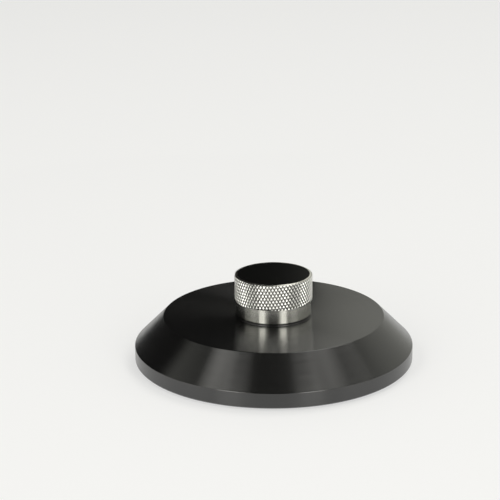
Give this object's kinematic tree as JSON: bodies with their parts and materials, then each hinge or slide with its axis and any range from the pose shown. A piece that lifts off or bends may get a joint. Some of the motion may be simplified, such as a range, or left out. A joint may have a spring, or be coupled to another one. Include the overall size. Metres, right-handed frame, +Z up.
{
  "type": "record weight clamp",
  "caption": "Turntable record weight: a bevelled black disc with a blind spindle bore and a felt ring below, and a diamond-knurled metal knob with a dark top to lift it by.",
  "frame": {"origin": "centre of the felt ring's lower face, where the spindle bore's axis meets the record's label", "axes": "+Z up along the spindle bore's axis, from the label to the knob's top; X and Y are free because the part is turned, with +X through one of the screws"},
  "size_m": [0.1, 0.1, 0.0322],
  "materials": {
    "black_anodised": "face-turned and gloss black anodised",
    "felt": "dense pressed felt",
    "black_rubber": "smooth, slightly shiny",
    "bright_aluminium": "turned bright, with a diamond-knurled head",
    "black_inlay": "satin",
    "screw_steel": "black oxide"
  },
  "bodies": {
    "root": {"base_disc": "black_anodised", "felt_ring": "felt", "seat_ring": "black_rubber", "knob": "bright_aluminium", "knob_inlay": "black_inlay", "knob_screws": "screw_steel"}
  },
  "joints": []
}
